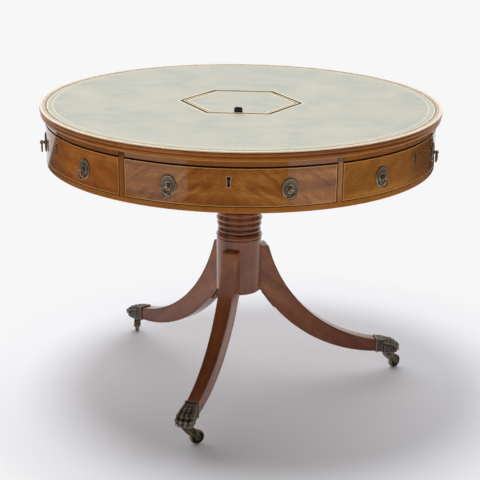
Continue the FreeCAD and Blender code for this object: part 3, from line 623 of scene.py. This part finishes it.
# %% Leather
HIDE = (srgb(176, 180, 168), srgb(192, 192, 176), srgb(206, 200, 184))
HIDE_STOPS = (0.34, 0.5, 0.68)
HIDE_GRAIN = srgb(150, 150, 134)
GILT = srgb(240, 232, 200)
OLIVE = srgb(160, 152, 118)
GRAIN_CELLS = 900.0
GRAIN_DEPTH = 0.1 * MM
COS30 = math.cos(math.radians(30))


def hexagon_distance(x, y):
    """Distance from the middle, measured square to the nearest side of the lid."""
    return abs(y).larger(abs(x) * COS30 + abs(y) * 0.5)


def leather_finish(name, gilding, tooling):
    """Both line patterns take the radius and the distance to the lid's sides."""
    finish = Finish(name)
    x, y, z = finish.place()
    point = finish.vector(x, y, z)
    radius = finish.length(x, y)
    across = hexagon_distance(x, y)
    gilt, tooled = gilding(radius, across), tooling(radius, across)
    clouds = finish.noise(point, 9, 6, 0.6, 0.6)
    streaks = finish.noise(finish.vector(x * 7, y * 20, z), 1, 4, 0.6)
    grain = finish.node("ShaderNodeTexVoronoi", {"feature": "F1"},
                        {"Vector": point, "Scale": GRAIN_CELLS})
    colour = finish.ramp(clouds * 0.7 + streaks * 0.3, list(zip(HIDE_STOPS, HIDE)))
    marks = finish.noise(finish.vector(x * 60 + y * 25, y * 260 - x * 40, z), 1, 2)
    colour = finish.mix(marks.rise(0.66, 0.8) * 0.25, colour, rgba(OLIVE))
    colour = finish.mix(grain * 0.2, colour, rgba(HIDE_GRAIN))
    colour = finish.mix(tooled * 0.6, colour, rgba(OLIVE))
    worn = finish.noise(point, 160, 2).rise(0.3, 0.48)
    colour = finish.mix(gilt * (worn * 0.4 + 0.6), colour, rgba(GILT))
    height = grain * 0.6 + clouds * 0.4 - gilt * 2 - tooled
    return finish.surface(Base_Color=colour, Roughness=0.46 + clouds * 0.16,
                          Coat_Weight=0.12, Coat_Roughness=0.3,
                          Normal=finish.bump(height, GRAIN_DEPTH, 0.6))


print("leather grain", round(1 / GRAIN_CELLS / MM, 1), "mm across")

# %% Gilt and blind lines
RIM_GILT = (16.1 * MM, 14.3 * MM)
RIM_FADE = (12.8 * MM, 11.3 * MM)
RIM_TOOLING = ((10.1 * MM, 8.9 * MM), (6.7 * MM, 5.7 * MM))
EDGE_GILT = 2.2 * MM
WELL_MARGIN = 5 * MM
WELL_GILT = 2.6 * MM
LID_GILT = (18.2 * MM, 14 * MM)
LID_TOOLING = (22.2 * MM, 21 * MM)


def inset_line(distance, edge, inset):
    """A line whose two sides lie so far inside an edge."""
    return distance.between(edge - inset[0], edge - inset[1], SOFT)


def top_gilding(radius, across):
    rim = inset_line(radius, leather_radius, RIM_GILT)
    rim = rim.larger(radius.between(leather_radius - EDGE_GILT, leather_radius, SOFT))
    faded = radius.rise(leather_radius - RIM_FADE[0], leather_radius - RIM_FADE[1])
    well = lid_flat + WELL_MARGIN
    return rim.larger(faded * 0.2).larger(across.between(well, well + WELL_GILT, SOFT) * 0.8)


def top_tooling(radius, across):
    inner, outer = (inset_line(radius, leather_radius, inset) for inset in RIM_TOOLING)
    return inner.larger(outer)


def lid_gilding(radius, across):
    return inset_line(across, lid_flat, LID_GILT)


def lid_tooling(radius, across):
    return inset_line(across, lid_flat, LID_TOOLING)


top_hide = leather_finish("top leather", top_gilding, top_tooling)
lid_hide = leather_finish("lid leather", lid_gilding, lid_tooling)
print("gilt line at radius", round(leather_radius - RIM_GILT[1], 4))

# %% [markdown]
# ## Lid wood
# The lid's wooden frame runs along each of its six sides. One straight grain would look
# wrong on five of them, and six materials would be five too many. The distance to the sides
# already makes a mitred pattern: where it changes direction, the grain does too. A dark line
# runs round the frame's outer edge and another round its inner edge. The frame has no coat:
# seen at a low angle, a coat mirrors the white behind the table and hides the lines. Instead
# the frame is painted pale, a painted reflection of that white, and its sides below the top
# face are painted dark, as painted shade in the gap round the lid.

# %% Lid frame finish
FRAME_INNER = 12.4 * MM
FRAME_LINE = 2.8 * MM
RIM_LINE = 5.0 * MM
HINGE_RIM_EXTRA = 2.4 * MM
MITRE_GRAIN = 0.14


def lid_wood():
    finish = Finish("lid mahogany")
    x, y, z = finish.place()
    across = hexagon_distance(x, y)
    colour, pores, fibres = wood_layers(
        finish, finish.turn(x, y) * MITRE_GRAIN, across, z, 9.0, CROSSBAND)
    inner = lid_flat - FRAME_INNER
    dark = across.between(inner, inner + FRAME_LINE, SOFT) * 0.8
    # Painted reflection: the whole frame is painted pale, for the white that a coat would mirror.
    colour = finish.mix(0.8, colour, rgba(PALE_LINE_AND_SHEEN))
    colour = finish.mix(dark, colour, rgba(DARK_LINE))
    near_hinge = y.rise(lid_flat * 0.5, lid_flat * 0.9)
    band = lid_flat - RIM_LINE - near_hinge * HINGE_RIM_EXTRA
    rim = across.rise(band, band + 0.4 * MM) * 0.97
    # Painted shade: the frame's sides below its top face, in the gap round the lid, are painted
    # nearly black.
    upper_face = z.rise(top_height - 1.2 * MM, top_height - 0.4 * MM)
    colour = finish.mix(((1 - upper_face) * 0.8).larger(rim), colour, rgba(EBONY_AND_SHADE))
    return polish(finish, colour, pores, fibres, coat=0.0, shine=0.0)


lid_mahogany = lid_wood()
print("lid frame", round((FRAME_INNER - RIM_LINE) / MM, 1), "mm wide between its lines")

# %% [markdown]
# ## Old brass and iron
# The drawer brasses have darkened to brown, and only what fingers and cloths touch stays
# bright. The paws and casters are darker still. Random patches alone look like camouflage,
# because real wear follows the shape: what stands proud is rubbed and hollows stay black. So
# a metal may be given its relief, a signal that is 1 where it stands proud. For the cast
# paws it is stored in the mesh; for plates and wheels the distance from their middle tells.

# %% Aged metal
POLISHED_AND_HIGHLIGHT = srgb(226, 204, 160)
METAL_DEPTH = 0.1 * MM


def aged_metal(name, bright, dull, balance, rough, relief=None, soft=0.16, metal=0.55,
               polished=None):
    """Old metal, bright where it is rubbed; balance is how much of it has gone dull."""
    finish = Finish(name)
    point = finish.point()
    patches = finish.noise(point, 130, 4, 0.6)
    specks = finish.noise(point, 900, 3, 0.7)
    level = patches
    if relief:
        level = relief(finish) * 0.72 + patches * 0.28
    bare = level.rise(balance - soft, balance + soft)
    colour = finish.mix(bare, rgba(dull), rgba(bright))
    colour = finish.mix(specks.rise(0.55, 0.7) * 0.3, colour, rgba(dull))
    if polished:
        colour = finish.mix(polished(finish), colour, rgba(POLISHED_AND_HIGHLIGHT))
    roughness = rough + (1 - bare) * 0.2 + specks * 0.1
    return finish.surface(Base_Color=colour, Metallic=metal + bare * 0.35, Roughness=roughness,
                          Normal=finish.bump(patches + specks * 0.4, METAL_DEPTH, 0.3))


def rubbed(finish):
    """The relief that a cast piece carries in its own mesh."""
    return finish.node("ShaderNodeAttribute", {"attribute_name": "proud"}, output=2)


ring_metal = aged_metal("pull brass", srgb(158, 138, 112), srgb(88, 72, 56), 0.46, 0.3,
                        metal=0.4)
paw_metal = aged_metal("paw brass", srgb(150, 138, 118), srgb(36, 33, 30), 0.58, 0.28, rubbed,
                       soft=0.24)
fork_metal = aged_metal("fork brass", srgb(136, 122, 98), srgb(38, 34, 29), 0.52, 0.28)
iron = aged_metal("black iron", srgb(74, 70, 66), srgb(34, 31, 29), 0.55, 0.45)
hinge_metal = aged_metal("hinge brass", srgb(176, 146, 88), srgb(104, 82, 46), 0.45, 0.25)
print("five plain metals ready")

# %% Plates and keyholes
PLATE_HALF_WIDTH = 19 * MM
PLATE_HALF_HEIGHT = 24 * MM
PULL_ARC = math.radians(16) * frieze_radius
PULL_DROP = 4 * MM
PULL_HEIGHT = (front_base + front_top) / 2 - PULL_DROP
PLATE_TICKS = 26
STEM_START = 3.5 * MM
STEM_FULL = 6 * MM
KEYHOLE_HALF = 9 * MM
KEYHOLE_SHINE = 0.15
FRONT_KEYHOLE_HIGHLIGHT = 0.6
PULL_BRIGHT = srgb(172, 152, 124)
PULL_DULL = srgb(96, 80, 62)


def drawer_brass(number):
    """Oval plates with a rubbed rim, ticks in the hollow and a ring, and a keyhole painted pale,
    partly rubbed brass and partly painted highlight.
    """

    def relief(finish):
        radius, around, z, reach, side = round_drum(finish, SECTOR * (number - 1))
        across = (abs(around) - PULL_ARC) / PLATE_HALF_WIDTH
        up = (z - PULL_HEIGHT) / PLATE_HALF_HEIGHT
        # A share of 0 is the plate's middle and 1 its edge.
        share = finish.length(across, up)
        ticks = finish.node("ShaderNodeMath", {"operation": "SINE"},
                            [finish.turn(across, up) * PLATE_TICKS]).rise(-0.4, 0.4)
        rings = share.between(0.82, 0.93, 0.03).larger(share.between(0.34, 0.46, 0.04))
        rings = rings.larger(share.between(0.6, 0.72, 0.03) * ticks * 0.8)
        return rings.larger(radius.rise(frieze_radius + STEM_START, frieze_radius + STEM_FULL))

    def keyhole(finish):
        radius, around, z, reach, side = round_drum(finish, SECTOR * (number - 1))
        face = radius.rise(frieze_radius - 1.5 * MM, frieze_radius - 0.5 * MM)
        # Painted highlight: the front drawer's keyhole is painted much paler than the others.
        shine = FRONT_KEYHOLE_HIGHLIGHT if number == 1 else KEYHOLE_SHINE
        return (1 - abs(around).rise(KEYHOLE_HALF, KEYHOLE_HALF + MM)) * face * shine

    return aged_metal("drawer brass " + str(number), PULL_BRIGHT, PULL_DULL, 0.5, 0.3, relief,
                      metal=0.3, polished=keyhole)


drawer_brasses = {number: drawer_brass(number) for number in DRAWERS}
print("pulls", round(PULL_ARC, 4), "m from each drawer's middle")

# %% Wheels and strap
def wheel_brass(number):
    """A wheel's tread and hub are rubbed; the hollow between them stays black."""
    low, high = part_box("caster_wheel_" + str(number))
    centre, radius = (low + high) / 2, (high.z - low.z) / 2

    def relief(finish):
        x, y, z = finish.place()
        level = finish.length(x - centre.x, y - centre.y)
        share = finish.length(level, z - centre.z) / radius
        return share.rise(0.82, 0.94).larger(1 - share.rise(0.3, 0.42))

    return aged_metal("wheel brass " + str(number), srgb(140, 126, 98), srgb(34, 30, 24), 0.5,
                      0.3, relief)


def painted_iron():
    """The strap under the legs, painted brown to match them and scuffed."""
    finish = Finish("painted iron")
    scuffs = finish.noise(finish.point(), 90, 4, 0.6)
    colour = finish.ramp(scuffs, [(0.35, srgb(92, 54, 36)), (0.7, srgb(128, 82, 56))])
    return finish.surface(Base_Color=colour, Roughness=0.45 + scuffs * 0.2,
                          Normal=finish.bump(scuffs, METAL_DEPTH, 0.4))


wheel_brasses = {number: wheel_brass(number) for number in LEGS}
strap_paint = painted_iron()
print(len(wheel_brasses), "wheel finishes and the strap's paint")

# %% [markdown]
# ## Softening the solids
# A CAD solid has knife edges, and its faces arrive as loose triangles. Real wood has its
# arrises rubbed down, and that thin rounded line is what catches the light. A Bevel modifier
# would trip over the loose triangles. So each solid is copied, its triangles are merged into
# whole faces, and its sharp edges are bevelled by a millimetre at most. The copy then stands
# for the solid.

# %% Eased copies
SHARP = math.radians(32)
FLAT_TO_ARRIS = math.radians(17)
SAME_POINT = 0.002 * MM
SAME_PLANE = math.radians(0.5)


def merged_mesh(node):
    """A bmesh of a CAD node with its triangles joined up."""
    shape = bmesh.new()
    shape.from_mesh(frame["nodes"][node].data)
    bmesh.ops.remove_doubles(shape, verts=shape.verts, dist=SAME_POINT)
    return shape


def piece_from(shape, name, body, material, crease=SHARP):
    """A finished piece from a bmesh, riding on a body, smooth where it bends less than crease."""
    mesh = bpy.data.meshes.new(name)
    shape.to_mesh(mesh)
    shape.free()
    mesh.shade_smooth()
    mesh.set_sharp_from_angle(angle=crease)
    mesh.materials.clear()
    mesh.materials.append(material)
    piece = bpy.data.objects.new(name, mesh)
    bpy.context.scene.collection.objects.link(piece)
    piece.modifiers.new("flat faces stay flat", "WEIGHTED_NORMAL").keep_sharp = True
    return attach(piece, body)


def body_of_node(node):
    return frame["nodes"][node]["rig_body"]


def eased(node, material, ease=0.0):
    """A copy of a node with its arrises rubbed down, standing for the node."""
    shape = merged_mesh(node)
    bmesh.ops.dissolve_limit(
        shape, angle_limit=SAME_PLANE, verts=shape.verts, edges=shape.edges)
    if ease:
        sharp = [edge for edge in shape.edges
                 if edge.is_manifold and edge.calc_face_angle() > SHARP]
        bmesh.ops.bevel(shape, geom=sharp, offset=ease, segments=2, profile=0.5,
                        affect="EDGES", clamp_overlap=True, material=-1)
    crease = FLAT_TO_ARRIS if ease else SHARP
    piece = piece_from(shape, node + ".eased", body_of_node(node), material, crease)
    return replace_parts(piece, node)


print("edges over", round(math.degrees(SHARP)), "degrees are eased")

# %% Wooden and leather pieces
WOODEN = {
    "top_board": (edge_wood, 0.35), "top_crossband": (crossband_wood, 0.3),
    "upper_rail": (rail_wood, 0.4), "lower_rail": (rail_wood, 0.4),
    "drum_floor": (floor_pine, 0), "drawer_dividers": (stile_wood, 0.3),
    "drawer_runners": (floor_pine, 0), "well_box": (floor_pine, 0),
    "lid_panel": (lid_mahogany, 0.4), "pillar": (pillar_wood, 0),
    "bearer_block": (pillar_wood, 0),
}
for node, (material, ease) in WOODEN.items():
    eased(node, material, ease * MM)
for number in DRAWERS:
    eased("drawer_front_" + str(number), drawer_woods[number], 0.4 * MM)
    eased("drawer_box_" + str(number), linings[number])
for number in LEGS:
    eased("leg_" + str(number), leg_woods[number], 1.0 * MM)
eased("top_leather", top_hide)
eased("lid_leather", lid_hide)
print(len(WOODEN) + 2 * len(DRAWERS) + len(LEGS) + 2, "pieces of wood and leather")

# %% [markdown]
# ## Metal pieces
# Pulls, plates, hinges, screws and casters keep the solids' own shapes. The casters could be
# melted into soft castings like the paws below, but a wheel has to stay round or it rubs its
# fork as it rolls, so their edges are only eased.

# %% Metal pieces
CAST_EASE = 0.35 * MM
METAL = {"spindle": iron, "leg_strap": strap_paint, "strap_screws": iron,
         "hinge_fixed_leaves": hinge_metal, "hinge_moving_leaves": hinge_metal}
for number in DRAWERS:
    METAL["drawer_brass_" + str(number)] = drawer_brasses[number]
    METAL["pull_ring_left_" + str(number)] = ring_metal
    METAL["pull_ring_right_" + str(number)] = ring_metal
for node, material in METAL.items():
    eased(node, material)
for number in LEGS:
    eased("caster_fork_" + str(number), fork_metal, CAST_EASE)
    eased("caster_wheel_" + str(number), wheel_brasses[number], CAST_EASE)
print(len(METAL) + 2 * len(LEGS), "metal pieces")

# %% [markdown]
# ## The lifting tab
# A scrap of dark leather stands in the lid's front edge, to lift it by. Its solid has the
# right shape, so it only needs rounded edges and a finish of its own: the hide's creases in
# near black.

# %% Tab
TAB_EASE = 0.5 * MM
CREASE_DEPTH = 0.2 * MM


def tab_finish():
    finish = Finish("tab leather")
    creases = finish.noise(finish.point(), 380, 4, 0.6)
    colour = finish.ramp(creases, [(0.35, srgb(30, 22, 18)), (0.7, srgb(58, 44, 34))])
    return finish.surface(Base_Color=colour, Roughness=0.5 + creases * 0.2,
                          Normal=finish.bump(creases, CREASE_DEPTH, 0.7))


tab = eased("lid_tab", tab_finish(), TAB_EASE)
print("tab", len(tab.data.polygons), "faces")

# %% [markdown]
# ## Paws
# A cast paw has no flat faces: the toes run into each other and into the ankle, and the wax
# it was cast from was softened by hand. It could be sculpted, but the solid already has the
# toes, knuckles and claws in their places. A voxel remesh melts its separate balls and blocks
# into one skin, and a round of smoothing takes the steps out of it. Many more rounds, undone
# afterwards, show which points stand proud, and the brass finish reads that as wear.

# %% Melt the paws
PAW_VOXEL = 0.9 * MM
PAW_ROUNDS = 1
RELIEF = 0.5 * MM
RELIEF_ROUNDS = 14


def soften(skin, rounds):
    for turn in range(rounds):
        bmesh.ops.smooth_vert(skin, verts=skin.verts, factor=0.5, use_axis_x=True,
                              use_axis_y=True, use_axis_z=True)


def mark_relief(skin):
    """Store how far each point stands above a much smoother state of the same skin."""
    layer = skin.verts.layers.float.new("proud")
    skin.normal_update()
    kept = [(vert.co.copy(), vert.normal.copy()) for vert in skin.verts]
    soften(skin, RELIEF_ROUNDS)
    for vert, (place, normal) in zip(skin.verts, kept):
        vert[layer] = 0.5 + (place - vert.co).dot(normal) / RELIEF / 2
        vert.co = place


def melted(node, material, voxel, rounds):
    """A node's solids melted into one soft skin."""
    shape = merged_mesh(node)
    mesh = bpy.data.meshes.new(node + ".melt")
    shape.to_mesh(mesh)
    shape.free()
    rough = bpy.data.objects.new(node + ".melt", mesh)
    bpy.context.scene.collection.objects.link(rough)
    remesh = rough.modifiers.new("melt", "REMESH")
    remesh.mode = "VOXEL"
    remesh.voxel_size = voxel
    remesh.use_smooth_shade = True
    bpy.context.view_layer.update()
    graph = bpy.context.evaluated_depsgraph_get()
    skin = bmesh.new()
    skin.from_mesh(rough.evaluated_get(graph).to_mesh())
    bpy.data.objects.remove(rough)
    soften(skin, rounds)
    mark_relief(skin)
    piece = piece_from(skin, node + ".melted", body_of_node(node), material)
    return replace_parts(piece, node)


paws = melted("paw_sockets", paw_metal, PAW_VOXEL, PAW_ROUNDS)
print("paws", len(paws.data.polygons), "faces")

# %% [markdown]
# ## Floor and light
# The table stands on pale paper under one large round lamp, high up, so the top throws a
# round pool of shade with a soft edge. Two soft boxes stand on the floor in front, to the left
# and the right. What the polish mirrors matters as much as the light: behind the table
# everything is white, and in front it is dark but for the two boxes, which is why a drawer
# front shows a veil near each end and its own deep colour in the middle. A bright room all
# round would be simpler, but it would lay that veil over everything.

# %% Sweep
PAPER = srgb(240, 241, 246)
BACKGROUND = srgb(247, 247, 247)
DIM = srgb(30, 29, 28)
SWEEP_SIZE = 14
SWEEP_CENTRE_X = 0.1
PAPER_END = 0.62
WHITE_START = 0.95
DIM_START = 1.85
DIM_FULL = 2.35
WHITE_WALL = (2.1, 2.22)
WALL_SLANT_RIGHT = 0.22
WALL_SLANT_LEFT = 0.17


def sweep_finish():
    """Paper near the table, the background's white further off, and dim to the polish."""
    finish = Finish("paper sweep")
    x, y, z = finish.place()
    distance = finish.length(x - SWEEP_CENTRE_X, y)
    far = distance.rise(PAPER_END, WHITE_START)
    rays = finish.node("ShaderNodeLightPath", output=None)
    slant = x.larger(0) * WALL_SLANT_RIGHT + x.smaller(0) * WALL_SLANT_LEFT
    behind = (y - slant).rise(*WHITE_WALL)
    dim = distance.rise(DIM_START, DIM_FULL) * (1 - behind)
    backdrop = finish.mix(dim * rays[GLOSSY_RAY], rgba(BACKGROUND), rgba(DIM))
    paper = finish.node("ShaderNodeBsdfDiffuse", inputs={"Color": rgba(PAPER)})
    white = finish.node("ShaderNodeEmission", inputs={"Color": backdrop, "Strength": 1.0})
    seen = (far * rays[CAMERA_RAY]).larger(far * rays[GLOSSY_RAY])
    mixed = finish.node("ShaderNodeMixShader", inputs=[seen, paper, white])
    finish.node("ShaderNodeOutputMaterial", inputs=[mixed])
    return finish.material


def sweep():
    shape = bmesh.new()
    bmesh.ops.create_grid(shape, x_segments=1, y_segments=1, size=SWEEP_SIZE)
    mesh = bpy.data.meshes.new("paper_sweep")
    shape.to_mesh(mesh)
    shape.free()
    mesh.materials.append(sweep_finish())
    floor = bpy.data.objects.new("paper_sweep", mesh)
    bpy.context.scene.collection.objects.link(floor)


sweep()
print("paper sweep laid")

# %% Lamps
BOX_FEET = 0.06
OVERHEAD_PLACE = (-0.62, -0.08, 5.2)
OVERHEAD_SIZE = 1.35
OVERHEAD_POWER = 104


def area_lamp(name, shape, power, place, aim):
    """Put a lamp at a place, facing a point."""
    data = bpy.data.lights.new(name, "AREA")
    data.shape = shape
    data.energy = power
    lamp = bpy.data.objects.new(name, data)
    lamp.location = place
    lamp.rotation_euler = (Vector(aim) - Vector(place)).to_track_quat("-Z", "Y").to_euler()
    bpy.context.scene.collection.objects.link(lamp)
    return data


def soft_box(name, azimuth, distance, width, height, power):
    """A lamp as large as a sheet, standing on the floor and facing the table."""
    middle = Vector((0, 0, BOX_FEET + height / 2))
    place = outward(math.radians(azimuth)) * distance + middle
    data = area_lamp(name, "RECTANGLE", power, place, middle)
    data.size = width
    data.size_y = height


overhead = area_lamp("overhead", "DISK", OVERHEAD_POWER, OVERHEAD_PLACE, (0, 0, 0))
overhead.size = OVERHEAD_SIZE
soft_box("left_box", azimuth=-41.5, distance=2.32, width=1.5, height=1.7, power=6.6)
soft_box("right_box", azimuth=42, distance=2.32, width=1.25, height=1.7, power=6.1)
print(len(bpy.data.lights), "lamps")

# %% World
def glow(sky, y, start, end, dark, bright):
    """A strength that grows from dark to bright as a ray points further back."""
    return sky.node("ShaderNodeMapRange", inputs={
        "Value": y, "From Min": start, "From Max": end, "To Min": dark, "To Max": bright})


def studio():
    """The world: white behind the table, dim in front of it, and pale to the camera."""
    world = bpy.data.worlds.new("studio")
    bpy.context.scene.world = world
    world.use_nodes = True
    sky = Web(world.node_tree)
    direction = sky.node("ShaderNodeTexCoord")
    y = sky.node("ShaderNodeSeparateXYZ", inputs=[direction], output=1)
    soft = glow(sky, y, start=0.0, end=0.9, dark=0.02, bright=2.5)
    mirrored = glow(sky, y, start=0.5, end=0.66, dark=0.03, bright=0.95)
    rays = sky.node("ShaderNodeLightPath", output=None)
    seen = sky.node("ShaderNodeMix", inputs={0: rays[GLOSSY_RAY], 2: soft, 3: mirrored})
    strength = sky.node("ShaderNodeMix", inputs={0: rays[CAMERA_RAY], 2: seen, 3: BACKGROUND[0]})
    light = sky.node("ShaderNodeBackground",
                     inputs={"Color": (1, 1, 1, 1), "Strength": strength})
    sky.node("ShaderNodeOutputWorld", inputs={"Surface": light})


studio()
print("world", bpy.context.scene.world.name)

# %% [markdown]
# ## Camera
# The camera was worked out from the photograph: a long lens a little over three metres off,
# looking down by eighteen degrees and leaning slightly. A camera aimed by eye would show the
# same table, but no edge would fall where the photograph has it.

# %% Camera
CAMERA_DISTANCE = 3.246
CAMERA_HEIGHT = 1.4725
CAMERA_AZIMUTH = math.radians(2.89)
CAMERA_PITCH = math.radians(18.49)
CAMERA_ROLL = math.radians(0.761)
FOCAL_PIXELS = 1333.9
FRAME_PIXELS = 480
SENSOR = 36.0
PRINCIPAL_POINT = (239.1, 242.4)


def photographer():
    data = bpy.data.cameras.new("camera")
    data.sensor_width = SENSOR
    data.lens = FOCAL_PIXELS / FRAME_PIXELS * SENSOR
    data.shift_x = (FRAME_PIXELS / 2 - PRINCIPAL_POINT[0]) / FRAME_PIXELS
    data.shift_y = (PRINCIPAL_POINT[1] - FRAME_PIXELS / 2) / FRAME_PIXELS
    camera = bpy.data.objects.new("camera", data)
    back = outward(CAMERA_AZIMUTH)
    forward = -back * math.cos(CAMERA_PITCH) - Vector((0, 0, math.sin(CAMERA_PITCH)))
    right = forward.cross(Vector((0, 0, 1))).normalized()
    up = right.cross(forward)
    leaning = right * math.cos(CAMERA_ROLL) + up * math.sin(CAMERA_ROLL)
    rising = up * math.cos(CAMERA_ROLL) - right * math.sin(CAMERA_ROLL)
    turn = Matrix((leaning, rising, -forward)).transposed().to_4x4()
    place = back * CAMERA_DISTANCE + Vector((0, 0, CAMERA_HEIGHT))
    camera.matrix_world = Matrix.Translation(place) @ turn
    bpy.context.scene.collection.objects.link(camera)
    bpy.context.scene.camera = camera


photographer()
bpy.context.scene.view_settings.view_transform = "Standard"
print("lens", round(bpy.context.scene.camera.data.lens, 1), "mm")
